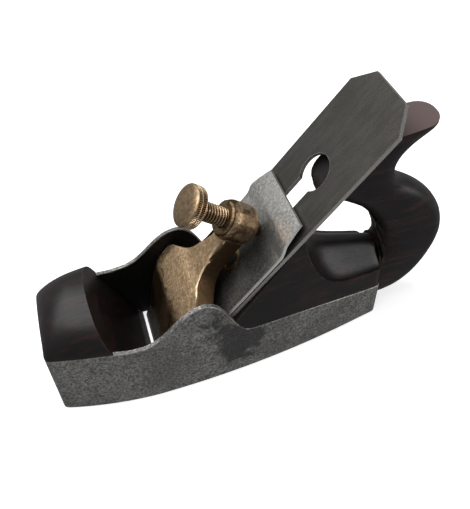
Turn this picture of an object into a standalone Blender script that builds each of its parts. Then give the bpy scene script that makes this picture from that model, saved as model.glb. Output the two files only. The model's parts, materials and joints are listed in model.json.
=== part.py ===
"""Coffin-sided infill smoothing plane with a double iron and a brass lever cap.

World axes: the toe points to -X, the heel to +X, +Z is up and the sole lies on Z = 0.
The plane's right side is +Y. The origin is on the sole's centre line, 97 mm behind the toe.
Lengths are written in millimetres and turned into metres when a mesh is made.
"""
import math

import bmesh
import bpy
import numpy as np
from mathutils import Matrix, Vector

MM = 0.001
GAP = 0.3                   # air between pieces that touch

# body
TOE_X = -97.0
HEEL_X = 100.5              # the heel's end leans back a little, see raked()
HEEL_LEAN = 0.07
PAST_HEEL = 1.4             # the side plates end a little behind the wood and the sole
SOLE_THICK = 5.0
WALL = 2.8                  # side plates
WIDEST_X = -38.2            # the coffin shape is widest beside the mouth
WIDEST = 33.8               # half of the widest width
TOE_HALF = 24.6
HEEL_HALF = 17.4
EASE = 0.35                 # the plates' and irons' edges are eased by this
CORNER = 2.6                # rounding of the plates' outer ends, seen from above
SIDE_TOP = [(-97, 45.2), (-86, 45.6), (-72, 45.6), (-60, 45.0), (-52, 43.9), (-45, 44.2), (-38.5, 46.2),
            (-32, 50.6), (-26, 56.0), (-20, 60.8), (-14, 63.9), (-9, 64.8), (-4.5, 63.4), (0, 59.2), (4, 52.2),
            (8, 43.8), (11.5, 37.8), (15, 34.8), (19, 33.9), (34.5, 32.9), (60.5, 30.1), (88, 25.4), (100.5, 23.0)]

# bed and irons; s runs up the bed from the cutting edge, h stands square off the iron's upper face
BED_ANGLE = math.radians(47.0)
EDGE_X = -37.5              # the cutting edge on the sole
MOUTH_FRONT = -39.1         # the front lip of the mouth
IRON_THICK = 2.4
IRON_HALF = 28.575          # a 2 1/4 in iron
IRON_END = 208.6
IRON_CLIP = 195.8
IRON_TOP_HALF = 16.0
IRON_BEVEL = 5.15
IRON_EASE = 0.2
SLOT_HALF = 6.35            # a 1/2 in slot
SLOT_START = 62.0
KEYHOLE_S = 150.3
KEYHOLE_R = 10.8
CAP_TOP = 2.5               # the cap iron's upper face above the iron's
NUT_S = 81.0
NUT_R = 7.1
CAP_SCREW_R = 4.5
CAP_SCREW_HEAD_R = 9.5

# lever cap
PIN_S = 45.7
PIN_H = 11.0
PIN_R = 3.0
BORE_R = 3.3
SCREW_S = 105.4             # where the thumb screw's axis meets the iron's upper face
SCREW_TILT = math.radians(4.5)  # the axis leans down the bed, as the cap does when it's tight
SHANK_R = 5.5
KNOB_R = 12.0
KNOB_BACK = 44.5            # the knob's inner face, along the screw's axis
TIP_R = 3.6
TIP_BOTTOM = CAP_TOP + GAP + 0.2

# wood
BUN_TOP = 66.0
TOTE_HALF = 12.4
TOTE_ROUND = 12.0
RIVET_R = 2.4
RIVETS = {"front_rivet": (-78.0, 24.0), "rear_rivet_front": (32.0, 19.0), "rear_rivet_back": (78.0, 14.0)}

MATERIALS = {
    "steel": ((0.16, 0.16, 0.155, 1), 1.0, 0.42),
    "iron_steel": ((0.10, 0.10, 0.098, 1), 1.0, 0.38),
    "cap_steel": ((0.34, 0.34, 0.33, 1), 1.0, 0.3),
    "brass": ((0.42, 0.27, 0.12, 1), 1.0, 0.35),
    "rosewood": ((0.028, 0.013, 0.012, 1), 0.0, 0.28),
}


def clear_scene():
    for obj in list(bpy.data.objects):
        bpy.data.objects.remove(obj, do_unlink=True)


def material(kind, name):
    colour, metallic, roughness = MATERIALS[kind]
    mat = bpy.data.materials.new(name)
    mat.use_nodes = True
    shader = mat.node_tree.nodes["Principled BSDF"]
    shader.inputs["Base Color"].default_value = colour
    shader.inputs["Metallic"].default_value = metallic
    shader.inputs["Roughness"].default_value = roughness
    mat.diffuse_color = colour
    return mat


def smooth_curve(points, value):
    """A curve through the points with monotone cubic pieces, read at one value."""
    xs = [p[0] for p in points]
    ys = [p[1] for p in points]
    slopes = [(ys[i + 1] - ys[i]) / (xs[i + 1] - xs[i]) for i in range(len(xs) - 1)]
    tangents = [slopes[0]]
    for a, b in zip(slopes, slopes[1:]):
        tangents.append(0.0 if a * b <= 0 else 2 * a * b / (a + b))
    tangents.append(slopes[-1])
    value = min(max(value, xs[0]), xs[-1])
    i = min(max(int(np.searchsorted(xs, value)) - 1, 0), len(xs) - 2)
    width = xs[i + 1] - xs[i]
    t = (value - xs[i]) / width
    return ((2 * t**3 - 3 * t**2 + 1) * ys[i] + (t**3 - 2 * t**2 + t) * width * tangents[i]
            + (3 * t**2 - 2 * t**3) * ys[i + 1] + (t**3 - t**2) * width * tangents[i + 1])


def side_top(x):
    return smooth_curve(SIDE_TOP, x)


def half_width(x):
    """Half of the body's width at x, before the end corners are rounded."""
    if x < WIDEST_X:
        return WIDEST - (WIDEST - TOE_HALF) * ((WIDEST_X - x) / (WIDEST_X - TOE_X)) ** 1.9
    return WIDEST - (WIDEST - HEEL_HALF) * ((x - WIDEST_X) / (HEEL_X - WIDEST_X)) ** 2


def outer_half(x):
    """Half of the outer width with the ends' corners rounded in plan."""
    reach = min(HEEL_X - x, x - TOE_X)
    if reach >= CORNER:
        return half_width(x)
    return half_width(x) - (CORNER - math.sqrt(CORNER**2 - (CORNER - reach) ** 2))


def raked(x, y, z):
    """Leans the last of the body back, so the heel's end isn't quite upright."""
    share = max(x - 60.0, 0.0) / (HEEL_X - 60.0)
    return (x + HEEL_LEAN * z * share**2, y, z)


def bed(s, y, h):
    """A point given by its place on the bed, in world millimetres."""
    return (EDGE_X + s * math.cos(BED_ANGLE) - h * math.sin(BED_ANGLE), y,
            s * math.sin(BED_ANGLE) + h * math.cos(BED_ANGLE))


def along_x(start, end, step):
    count = max(2, int(math.ceil((end - start) / step)) + 1)
    return [float(v) for v in np.linspace(start, end, count)]


def mesh_object(name, kind, points, faces, smooth_angle=30.0):
    mesh = bpy.data.meshes.new(name)
    mesh.from_pydata([tuple(c * MM for c in p) for p in points], [], faces)
    work = bmesh.new()
    work.from_mesh(mesh)
    bmesh.ops.remove_doubles(work, verts=work.verts, dist=1e-6)
    bmesh.ops.recalc_face_normals(work, faces=work.faces)
    work.to_mesh(mesh)
    work.free()
    mesh.materials.append(material(kind, name + "_" + kind))
    obj = bpy.data.objects.new(name, mesh)
    bpy.context.scene.collection.objects.link(obj)
    shade(obj, smooth_angle)
    return obj


def shade(obj, angle):
    mesh = obj.data
    mesh.polygons.foreach_set("use_smooth", [True] * len(mesh.polygons))
    mesh.set_sharp_from_angle(angle=math.radians(angle))


def loft(name, kind, rings, smooth_angle=30.0):
    """A closed solid through rings with the same number of points, capped at both ends."""
    count = len(rings[0])
    points = [p for ring in rings for p in ring]
    faces = []
    for r in range(len(rings) - 1):
        for k in range(count):
            a = r * count + k
            b = r * count + (k + 1) % count
            faces.append((a, b, b + count, a + count))
    faces.append(tuple(range(count)))
    faces.append(tuple(range((len(rings) - 1) * count, len(rings) * count)))
    return mesh_object(name, kind, points, faces, smooth_angle)


def turned(name, kind, profile, place, segments=64, smooth_angle=30.0):
    """A turned solid; profile holds (radius, height) from the bottom to the top of its axis."""
    rings = []
    for radius, height in profile:
        rings.append([place(radius * math.cos(2 * math.pi * k / segments),
                            radius * math.sin(2 * math.pi * k / segments), height) for k in range(segments)])
    return loft(name, kind, rings, smooth_angle)


def cross_cylinder(name, kind, x, z, radius, half, segments=48):
    """A cylinder lying along Y."""
    return turned(name, kind, [(radius, -half), (radius, half)],
                  lambda a, b, height: (x + a, height, z + b), segments)


def boolean(obj, other, operation, smooth_angle=30.0):
    """Apply one exact Boolean and drop the other object."""
    modifier = obj.modifiers.new("cut", "BOOLEAN")
    modifier.operation = operation
    modifier.solver = "EXACT"
    modifier.object = other
    graph = bpy.context.evaluated_depsgraph_get()
    mesh = bpy.data.meshes.new_from_object(obj.evaluated_get(graph))
    obj.modifiers.clear()
    old = obj.data
    obj.data = mesh
    bpy.data.meshes.remove(old)
    bpy.data.objects.remove(other, do_unlink=True)
    work = bmesh.new()
    work.from_mesh(mesh)
    bmesh.ops.remove_doubles(work, verts=work.verts, dist=2e-6)
    bmesh.ops.dissolve_degenerate(work, edges=work.edges, dist=2e-6)
    bmesh.ops.recalc_face_normals(work, faces=work.faces)
    work.to_mesh(mesh)
    work.free()
    while len(mesh.materials) > 1:
        mesh.materials.pop(index=len(mesh.materials) - 1)
    mesh.polygons.foreach_set("material_index", [0] * len(mesh.polygons))
    shade(obj, smooth_angle)


def set_origin(obj, point_mm):
    """Put the object's origin on a joint axis without moving its shape."""
    target = Vector(point_mm) * MM
    obj.data.transform(Matrix.Translation(-target))
    obj.location = target


def side_plate(name, sign):
    stations = [TOE_X + d for d in (0.0, 0.2, 0.7, 1.5, 2.8)] + along_x(-92, -61, 4) + along_x(-59, 22, 2)
    stations += along_x(26, 95, 6) + [HEEL_X - d for d in (2.8, 1.5, 0.7, 0.2, 0.0)]
    rings = []
    for x in stations:
        outer = outer_half(x)
        inner = half_width(x) - WALL
        top = side_top(x)
        ease = min(EASE, 0.3 * (outer - inner))
        corners = [(outer - ease, 0), (outer, ease), (outer, top - ease), (outer - ease, top), (inner + ease, top),
                   (inner, top - ease), (inner, 0)]
        behind = PAST_HEEL * (max(x - 80.0, 0.0) / (HEEL_X - 80.0)) ** 2
        rings.append([raked(x + behind, sign * y, z) for y, z in corners])
    plate = loft(name, "steel", rings)
    for hole_x, hole_z, radius in plate_holes():
        boolean(plate, cross_cylinder("hole", "steel", hole_x, hole_z, radius, 50), "DIFFERENCE")
    return plate


def plate_holes():
    pin_x, _, pin_z = bed(PIN_S, 0, PIN_H)
    holes = [(pin_x, pin_z, PIN_R + GAP)]
    for x, z in RIVETS.values():
        holes.append((x, z, RIVET_R + GAP))
    return holes


def plate_cutter(sign):
    """The room a side plate needs inside the wood, with the gap around it."""
    rings = []
    for x in [-105.0] + along_x(TOE_X, HEEL_X, 3) + [108.0]:
        inner = half_width(min(max(x, TOE_X), HEEL_X)) - WALL - GAP
        top = side_top(x) + GAP
        corners = [(45, -5), (45, top), (inner, top), (inner, -5)]
        rings.append([raked(x, sign * y, z) for y, z in corners])
    return loft("cutter", "steel", rings)


def sole_piece(name, front, rear_bottom, rear_top, front_top):
    """A sole plate between the side plates, from the front end to the rear end."""
    rings = []
    for t in np.linspace(0, 1, 25):
        low = front + (rear_bottom - front) * t
        high = front_top + (rear_top - front_top) * t
        wide_low = half_width(low) - WALL - GAP
        wide_high = half_width(high) - WALL - GAP
        rings.append([(low, -wide_low, 0), (low, wide_low, 0), raked(high, wide_high, SOLE_THICK),
                      raked(high, -wide_high, SOLE_THICK)])
    return loft(name, "steel", rings)


def crown(half, low, high, power, steps):
    """Points of a rounded top from +half over the middle to -half."""
    arc = []
    for k in range(steps + 1):
        angle = math.pi * k / steps
        y = half * math.copysign(abs(math.cos(angle)) ** (2 / power), math.cos(angle))
        z = low + (high - low) * abs(math.sin(angle)) ** (2 / power)
        arc.append((y, z))
    return arc


def shoulder(half, low, high, steps):
    """A ledge at each side that sweeps up into a rounded back, from +half to -half."""
    side = []
    for k in range(steps):
        reach = k / steps
        rise = min(reach / 0.95, 1.0)
        side.append((half * (1 - reach), low + (high - low) * rise * rise * (3 - 2 * rise)))
    return side + [(0.0, high)] + [(-y, z) for y, z in reversed(side)]


def drill_rivet_holes(obj, names):
    for name in names:
        x, z = RIVETS[name]
        boolean(obj, cross_cylinder("hole", "steel", x, z, RIVET_R + GAP, 50), "DIFFERENCE", 40)


def front_infill():
    """The front wood: flush over the plates, crowned on top, sloping back down to the mouth."""
    throat = [(5.3, -42.0), (20, -49.3), (43, -59.9), (55, -64.4), (66, -67.5)]
    low = 45.6 + GAP + 0.4
    rings = []
    for u in list(np.linspace(0, 0.06, 4)) + list(np.linspace(0.1, 1, 20)):
        x_top = TOE_X + u * (-67.5 - TOE_X)
        reach = max(-73 - x_top, 0.0) / (-73 - TOE_X)
        high = low + 0.5 + (BUN_TOP - low - 0.5) * (1 - min(reach, 1.0) ** 2.2) ** (1 / 2.2)
        section = [(1.0, 5.3), (1.0, low)]
        section += [(y, z) for y, z in crown(1.0, low, high, 2.1, 20)][1:-1]
        section += [(-1.0, low), (-1.0, 5.3)]
        ring = []
        for y, z in section:
            x = TOE_X + u * (smooth_curve(throat, z) - TOE_X)
            ring.append((x, y * outer_half(x), z))
        rings.append(ring)
    bun = loft("front_infill", "rosewood", rings, 40)
    for sign in (-1, 1):
        boolean(bun, plate_cutter(sign), "DIFFERENCE", 40)
    drill_rivet_holes(bun, ["front_rivet"])
    return bun


def rear_infill():
    """The rear wood: the bed wedge, a scooped hand-web behind it and a flat end at the heel."""
    wedge_end = 50.0
    cheek = [(50, 87.6), (51, 83.0), (53, 74.0), (56.5, 63.5), (60.9, 54.8), (67.9, 47.0), (74, 43.4), (82, 41.0),
             (90, 39.6), (100.5, 38.3)]
    crest = [(50, 89.6), (51.5, 84.5), (55, 74.0), (60, 65.5), (66, 60.6), (74, 57.2), (84, 54.2), (92.5, 51.6),
             (100.5, 49.2)]

    def bed_height(x):
        return (x - EDGE_X - (IRON_THICK + GAP) * math.sin(BED_ANGLE)) * math.tan(BED_ANGLE) \
            - (IRON_THICK + GAP) * math.cos(BED_ANGLE)

    start = EDGE_X + (IRON_THICK + GAP) * math.sin(BED_ANGLE) + 8.1 / math.tan(BED_ANGLE)
    stations = along_x(start, 49.5, 4) + [50.0, 50.5, 51.2, 52.0, 53.0, 54.5, 56.5, 59.0, 62.0, 65.0]
    stations += along_x(68, 95, 3) + [HEEL_X - d for d in (2.8, 1.5, 0.7, 0.2, 0.0)]
    rings = []
    for x in stations:
        half = outer_half(x)
        if x <= wedge_end:
            low = high = bed_height(x)
            low -= 0.02
        else:
            low = smooth_curve(cheek, x)
            high = smooth_curve(crest, x)
        arc = shoulder(half, low, high, 16)
        section = [(half, SOLE_THICK + GAP)] + arc + [(-half, SOLE_THICK + GAP)]
        rings.append([raked(x, y, z) for y, z in section])
    block = loft("rear_infill", "rosewood", rings, 40)
    for sign in (-1, 1):
        boolean(block, plate_cutter(sign), "DIFFERENCE", 40)
    boolean(block, head_channel(), "DIFFERENCE", 40)
    drill_rivet_holes(block, ["rear_rivet_front", "rear_rivet_back"])
    return block


def head_channel():
    """The groove in the bed that clears the cap iron screw's head."""
    half = CAP_SCREW_HEAD_R + 0.9
    outline = [(140.0, half), (140.0, -half)]
    for k in range(13):
        angle = math.pi * k / 12
        outline.append((NUT_S - 1.0 - half * math.sin(angle), -half * math.cos(angle)))
    return loft("cutter", "steel", [[bed(s, y, h) for s, y in outline] for h in (-7.4, 1.0)])


def path_through(points, step):
    """Evenly spaced points on a smooth curve through the given ones."""
    length = [0.0]
    for a, b in zip(points, points[1:]):
        length.append(length[-1] + math.dist(a, b))
    xs = list(zip(length, [p[0] for p in points]))
    zs = list(zip(length, [p[1] for p in points]))
    count = max(2, round(length[-1] / step))
    return [(smooth_curve(xs, t), smooth_curve(zs, t)) for t in np.linspace(0, length[-1], count + 1)]


def eased(points, rounds):
    """Averages each inner point with its neighbours, which takes out small corners."""
    for _ in range(rounds):
        points = [points[0]] + [((a[0] + 2 * b[0] + c[0]) / 4, (a[1] + 2 * b[1] + c[1]) / 4)
                                for a, b, c in zip(points, points[1:], points[2:])] + [points[-1]]
    return points


def tote():
    """The open handle: sections swept from its root at the heel round to the horn's flat top.

    Each section runs from the arch side to the back; its thickness follows the distance from
    the rounded edges, so the front, which faces the iron, stays flat.
    """
    root = HEEL_X + GAP
    back = [(root + HEEL_LEAN * 4.6, 4.6), (107, 4.9), (116.5, 7.0), (126.6, 12.6), (134.9, 21.4), (140.6, 31.2),
            (144.4, 41.5), (145.9, 51.0), (144.4, 61.5), (139.4, 72.6), (131.4, 82.2), (122.5, 89.4),
            (116.0, 93.6), (112.0, 98.0), (110.2, 103.0), (110.8, 108.0), (113.6, 113.2), (118.2, 117.8),
            (123.4, 121.4), (128.2, 124.4), (131.6, 127.6), (132.9, 130.6), (132.6, 132.6)]
    arch = [(root + HEEL_LEAN * 49.0, 49.0), (104.3, 54.0), (103.9, 60.5), (101.6, 68.0), (97.0, 75.4), (90.4, 81.7),
            (83.0, 87.0), (76.0, 91.4), (69.8, 94.2), (66.2, 96.2), bed(144.0, 0, -6.3)[::2]]
    front = [bed(146.5, 0, -5.6)[::2], bed(151.0, 0, -5.9)[::2], bed(160.0, 0, -6.6)[::2], bed(170.0, 0, -7.8)[::2],
             bed(178.0, 0, -9.0)[::2], (97.5, 128.7)]
    back_line = eased(path_through(back, 1.2), 6)
    arch_line = eased(path_through(arch, 1.2), 6)
    front_line = path_through(front, 1.2)
    inner_line = arch_line + front_line
    pairs = [(0, 0.0), (0.10, 0.045), (0.2, 0.115), (0.3, 0.26), (0.42, 0.40), (0.53, 0.52), (0.6, 0.60),
             (0.66, 0.675), (0.72, 0.74), (0.80, 0.80), (0.9, 0.90), (1.0, 1.0)]
    starts = np.array(back_line[:-1] + arch_line[:-1])
    ends = np.array(back_line[1:] + arch_line[1:])

    def along(line, share):
        where = share * (len(line) - 1)
        i = min(int(where), len(line) - 2)
        t = where - i
        return (np.array(line[i]) * (1 - t) + np.array(line[i + 1]) * t)

    def thickness(point):
        steps = ends - starts
        t = np.clip(((point - starts) * steps).sum(1) / np.maximum((steps**2).sum(1), 1e-9), 0, 1)
        gap = float(np.hypot(*(starts + steps * t[:, None] - point).T).min())
        reach = min(gap / TOTE_ROUND, 1.0)
        return max(TOTE_HALF * (1 - (1 - reach) ** 2.3) ** (1 / 2.3), 0.3)

    rings = []
    for share in np.linspace(0, 1, 76):
        p_in = along(inner_line, share)
        p_out = along(back_line, smooth_curve(pairs, float(share)))
        chord = float(np.hypot(*(p_out - p_in)))
        reaches = [0.0, 0.25, 0.8, 1.7, 3.0, 4.8, 7.0, 9.8]
        spots = [r / chord for r in reaches] + [0.5 * (13.0 / chord + 0.5), 0.5]
        spots = [v for v in spots if v <= 0.5 - 1e-6] if chord < 26.5 else spots[:-1]
        spots = spots[:9] + [0.5]
        spots = spots + [1 - v for v in reversed(spots[:-1])]
        line = [p_in + (p_out - p_in) * v for v in spots]
        half = [thickness(p) for p in line]
        ring = [(float(p[0]), w, float(p[1])) for p, w in zip(line, half)]
        ring += [(float(p[0]), -w, float(p[1])) for p, w in reversed(list(zip(line, half)))]
        rings.append(ring)
    return loft("tote", "rosewood", rings, 50)


def cutting_iron():
    rings = []
    for s, half in ((0.0, IRON_HALF), (IRON_BEVEL, IRON_HALF), (IRON_CLIP, IRON_HALF), (IRON_END, IRON_TOP_HALF)):
        low = -0.08 if s == 0.0 else -IRON_THICK
        ease = 0.03 if s == 0.0 else IRON_EASE
        side = [(half - ease, 0.0), (half, -ease), (half, low + ease), (half - ease, low)]
        ring = side + [(-y, h) for y, h in reversed(side)]
        rings.append([bed(s, y, h) for y, h in ring])
    iron = loft("cutting_iron", "iron_steel", rings)
    outline = []
    for k in range(17):
        angle = math.pi / 2 + math.pi * k / 16
        outline.append((SLOT_START + SLOT_HALF + SLOT_HALF * math.cos(angle), SLOT_HALF * math.sin(angle)))
    open_angle = math.asin(SLOT_HALF / KEYHOLE_R)
    for k in range(41):
        angle = -math.pi + open_angle + (2 * math.pi - 2 * open_angle) * k / 40
        outline.append((KEYHOLE_S + KEYHOLE_R * math.cos(angle), KEYHOLE_R * math.sin(angle)))
    slot = loft("cutter", "steel", [[bed(s, y, h) for s, y in outline] for h in (-6.0, 4.0)])
    boolean(iron, slot, "DIFFERENCE")
    return iron


def cap_iron():
    """Lies on the iron, thins to its leading edge and humps at its narrower top end."""
    lower = [(1.6, 0.3), (8, 0.3), (109, 0.3), (111.5, 1.0), (114.5, 2.3), (118, 3.1), (123, 3.0), (130.4, 2.3)]
    upper = [(1.6, 0.75), (4.0, 1.7), (8.0, 2.3), (12.0, 2.5), (109, 2.5), (111.5, 3.2), (114.5, 4.5), (118, 5.2),
             (123, 5.0), (130.4, 4.3)]
    rings = []
    for s in (1.6, 2.6, 4, 6, 8, 10, 12, 40, 70, 100, 109, 110, 111, 112, 113, 114, 115, 116, 117, 118, 119.5, 121,
              123, 126, 130.4):
        half = 28.3 if s <= 114 else 28.3 - 4.3 * (s - 114) / 16.4
        low = smooth_curve(lower, s)
        high = smooth_curve(upper, s)
        ease = min(0.3, 0.3 * (high - low))
        side = [(half - ease, high), (half, high - ease), (half, low + ease), (half - ease, low)]
        ring = side + [(-y, h) for y, h in reversed(side)]
        rings.append([bed(s, y, h) for y, h in ring])
    cap = loft("cap_iron", "cap_steel", rings)
    hole = turned("cutter", "steel", [(NUT_R + GAP, -4), (NUT_R + GAP, 8)], on_bed_axis(NUT_S), 48)
    boolean(cap, hole, "DIFFERENCE")
    return cap


def on_bed_axis(s):
    """Places turned shapes square to the bed at s; heights are measured as h."""
    return lambda a, b, height: bed(s + a, b, height)


def on_screw_axis(a, b, height):
    """Places turned shapes on the thumb screw's axis; heights run along it from the iron."""
    s = SCREW_S + a * math.cos(SCREW_TILT) - height * math.sin(SCREW_TILT)
    return bed(s, b, height * math.cos(SCREW_TILT) + a * math.sin(SCREW_TILT))


def cap_iron_nut():
    nut = turned("cap_iron_nut", "brass", [(NUT_R, 0.3), (NUT_R, CAP_TOP)], on_bed_axis(NUT_S), 48)
    boolean(nut, turned("cutter", "brass", [(CAP_SCREW_R + GAP, -4), (CAP_SCREW_R + GAP, 8)],
                        on_bed_axis(NUT_S), 48), "DIFFERENCE")
    return nut


def cap_iron_screw():
    under = -IRON_THICK - GAP
    profile = [(CAP_SCREW_HEAD_R - 0.8, under - 2.2), (CAP_SCREW_HEAD_R, under - 1.6), (CAP_SCREW_HEAD_R, under),
               (CAP_SCREW_R, under), (CAP_SCREW_R, CAP_TOP - 0.6), (CAP_SCREW_R - 0.5, CAP_TOP - 0.1)]
    screw = turned("cap_iron_screw", "iron_steel", profile, on_bed_axis(NUT_S), 48)
    low, high = under - 4.0, under - 1.2
    box = loft("cutter", "steel", [[bed(NUT_S - 12, -0.8, h), bed(NUT_S + 12, -0.8, h), bed(NUT_S + 12, 0.8, h),
                                    bed(NUT_S - 12, 0.8, h)] for h in (low, high)])
    boolean(screw, box, "DIFFERENCE")
    set_origin(screw, bed(NUT_S, 0, 0))
    return screw


def lever_cap():
    """The casting: a thin lip, a hub on the pin, a waisted neck and the screw's boss."""
    upper = [(11.5, 4.8), (14, 6.8), (20, 10.9), (30, 16.6), (38, 20.4), (45, 22.3), (50, 22.5), (62, 22.0),
             (70, 21.7), (85, 21.5), (104, 21.5)]
    lower = [(11.5, 2.8), (15, 2.8), (22, 4.4), (30, 5.4), (38, 5.6), (48, 5.6), (56, 6.6), (63, 8.8), (72, 9.9),
             (104, 10.0)]
    wide = [(11.5, 28.4), (20, 29.2), (40, 29.4), (54, 29.2), (57.5, 27.8), (60, 25.2), (63, 21.2), (66, 17.0),
            (69, 13.6), (72, 11.3), (76, 9.6), (80, 8.7), (86, 8.1), (104, 8.0)]
    rings = []
    for s in (11.5, 12.5, 14, 17, 20, 25, 30, 34, 38, 41, 43, 45, 48, 51, 54, 56, 57.5, 59, 60.5, 62, 64, 66, 68,
              70, 72, 75, 78, 82, 86, 92, 104):
        low = smooth_curve(lower, s)
        high = smooth_curve(upper, s)
        half = smooth_curve(wide, s)
        ease = min(1.4, 0.3 * (high - low))
        section = []
        for k in range(4):
            angle = math.pi / 2 * k / 3
            section.append((half - ease + ease * math.sin(angle), high - ease + ease * math.cos(angle)))
        section += [(half, low + ease * 0.5), (half - ease * 0.5, low)]
        section += [(-y, h) for y, h in reversed(section)]
        rings.append([bed(s, y, h) for y, h in section])
    body = loft("lever_cap", "brass", rings, 35)
    boolean(body, boss(), "UNION", 35)
    pin_x, _, pin_z = bed(PIN_S, 0, PIN_H)
    boolean(body, cross_cylinder("cutter", "brass", pin_x, pin_z, BORE_R, 40, 48), "DIFFERENCE", 35)
    boolean(body, turned("cutter", "brass", [(SHANK_R + GAP, 0), (SHANK_R + GAP, 40)], on_screw_axis, 48),
            "DIFFERENCE", 35)
    set_origin(body, (pin_x, 0, pin_z))
    return body


def boss():
    """The eight-sided eye around the thumb screw, eased at both ends."""
    profile = [(8.6, 9.0), (10.6, 10.4), (11.3, 12.8), (11.3, 24.0), (10.7, 26.2), (9.2, 27.6)]
    rings = []
    for radius, height in profile:
        ring = []
        for k in range(8):
            for part in (-0.16, 0.16):
                angle = 2 * math.pi * (k + 0.5 + part) / 8
                ring.append(on_screw_axis(radius * math.cos(angle), radius * math.sin(angle), height))
        rings.append(ring)
    return loft("cutter", "brass", rings)


def lever_cap_screw():
    back = KNOB_BACK
    profile = [(4.6, 4.9), (SHANK_R, 5.8), (SHANK_R, back - 0.5), (6.2, back), (10.8, back + 0.1),
               (11.7, back + 0.5), (KNOB_R, back + 1.1), (KNOB_R, back + 5.2), (11.7, back + 5.9),
               (10.9, back + 6.4), (9.2, back + 7.0), (6.4, back + 7.7), (3.2, back + 8.1), (0.6, back + 8.2)]
    screw = turned("lever_cap_screw", "brass", profile, on_screw_axis, 64)
    set_origin(screw, on_screw_axis(0, 0, back))
    return screw


def screw_tip():
    tip = turned("screw_tip", "brass", [(2.6, TIP_BOTTOM), (TIP_R, TIP_BOTTOM + 0.5), (TIP_R, 4.6)],
                 on_screw_axis, 32)
    set_origin(tip, on_screw_axis(0, 0, TIP_BOTTOM))
    return tip


def pins():
    pin_x, _, pin_z = bed(PIN_S, 0, PIN_H)
    cross_cylinder("lever_cap_pin", "steel", pin_x, pin_z, PIN_R, half_width(pin_x) - 0.05)
    for name, (x, z) in RIVETS.items():
        cross_cylinder(name, "steel", x, z, RIVET_R, half_width(x + RIVET_R) - 0.05)


clear_scene()
side_plate("side_plate_left", -1)
side_plate("side_plate_right", 1)
sole_piece("sole_front", TOE_X, MOUTH_FRONT, MOUTH_FRONT - 2.9, TOE_X)
rear_low = EDGE_X + 3.7
rear_high = EDGE_X + (SOLE_THICK + (IRON_THICK + GAP) / math.cos(BED_ANGLE)) / math.tan(BED_ANGLE)
sole_piece("sole_rear", rear_low, HEEL_X, HEEL_X, rear_high)
front_infill()
rear_infill()
tote()
cutting_iron()
cap_iron()
cap_iron_nut()
cap_iron_screw()
lever_cap()
lever_cap_screw()
screw_tip()
pins()
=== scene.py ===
# %% [markdown]
# # An infill smoothing plane
# The plane is a steel box filled with dark wood. A thick steel iron lies on a steep bed in the
# wood, a cap iron stiffens it, and a brass lever cap clamps both with one thumb screw. The
# imported CAD model gives every piece its place and its motion. Here the pieces get the shapes
# that a hand can feel, such as a cut thread, a knurl and the soft ridges of a filed casting, and
# the finishes that a hundred years of use have left, with some light and shade painted in.

# %% Load the frame
import json
import math

import bmesh
import bpy
import numpy as np
from mathutils import Matrix, Vector

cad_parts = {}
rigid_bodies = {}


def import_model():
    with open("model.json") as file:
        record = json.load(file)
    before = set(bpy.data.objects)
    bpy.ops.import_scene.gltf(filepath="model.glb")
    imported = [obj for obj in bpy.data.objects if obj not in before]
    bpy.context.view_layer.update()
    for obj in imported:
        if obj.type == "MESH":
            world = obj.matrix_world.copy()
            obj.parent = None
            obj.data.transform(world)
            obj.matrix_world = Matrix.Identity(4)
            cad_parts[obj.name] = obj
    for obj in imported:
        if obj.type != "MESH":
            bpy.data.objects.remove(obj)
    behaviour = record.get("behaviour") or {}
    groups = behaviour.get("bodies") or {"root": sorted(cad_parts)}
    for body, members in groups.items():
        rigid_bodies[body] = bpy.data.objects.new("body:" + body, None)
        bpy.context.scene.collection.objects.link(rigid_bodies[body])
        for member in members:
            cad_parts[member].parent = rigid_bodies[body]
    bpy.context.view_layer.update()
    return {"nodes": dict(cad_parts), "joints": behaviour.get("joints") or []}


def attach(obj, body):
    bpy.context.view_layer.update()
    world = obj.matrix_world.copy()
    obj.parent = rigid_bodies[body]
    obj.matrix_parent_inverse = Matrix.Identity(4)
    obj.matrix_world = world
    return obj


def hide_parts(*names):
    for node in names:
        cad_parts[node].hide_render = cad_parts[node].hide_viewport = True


for left_over in list(bpy.data.objects):
    bpy.data.objects.remove(left_over, do_unlink=True)
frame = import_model()
nodes = frame["nodes"]
MM = 0.001

# %% [markdown]
# ## Two directions to measure in
# Half of the plane stands on the floor, and half lies on the bed at 47 degrees. Pieces on the
# bed are easier to think of by how far up the bed they are and how far off it they stand. The
# cutting iron's own mesh says where the bed is, so only the bed's angle is written here.

# %% Bed coordinates
BED_ANGLE = math.radians(47.0)
UP_BED = Vector((math.cos(BED_ANGLE), 0, math.sin(BED_ANGLE)))
OFF_BED = Vector((-math.sin(BED_ANGLE), 0, math.cos(BED_ANGLE)))


def mesh_points(obj):
    """The corners of a mesh in metres, one row each."""
    points = np.empty(len(obj.data.vertices) * 3)
    obj.data.vertices.foreach_get("co", points)
    return points.reshape(-1, 3)


iron_points = mesh_points(nodes["cutting_iron"])
iron_face = float((iron_points @ np.array(OFF_BED)).max())
EDGE = OFF_BED * iron_face
EDGE -= UP_BED * (EDGE.z / UP_BED.z)


def on_bed(up, across, off):
    """A point in metres, from millimetres up the bed, across it and off it."""
    return EDGE + UP_BED * (up * MM) + Vector((0, across * MM, 0)) + OFF_BED * (off * MM)


print("the cutting edge is at x =", round(EDGE.x / MM, 2), "mm")

# %% [markdown]
# ## The thumb screw's axis
# The thumb screw doesn't stand square to the bed, because the lever cap leans when it's tight.
# The frame's joint for the screw holds the place of the knob's back and the way the axis
# points, so the finish and the shape of the screw both read it from there.

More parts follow.
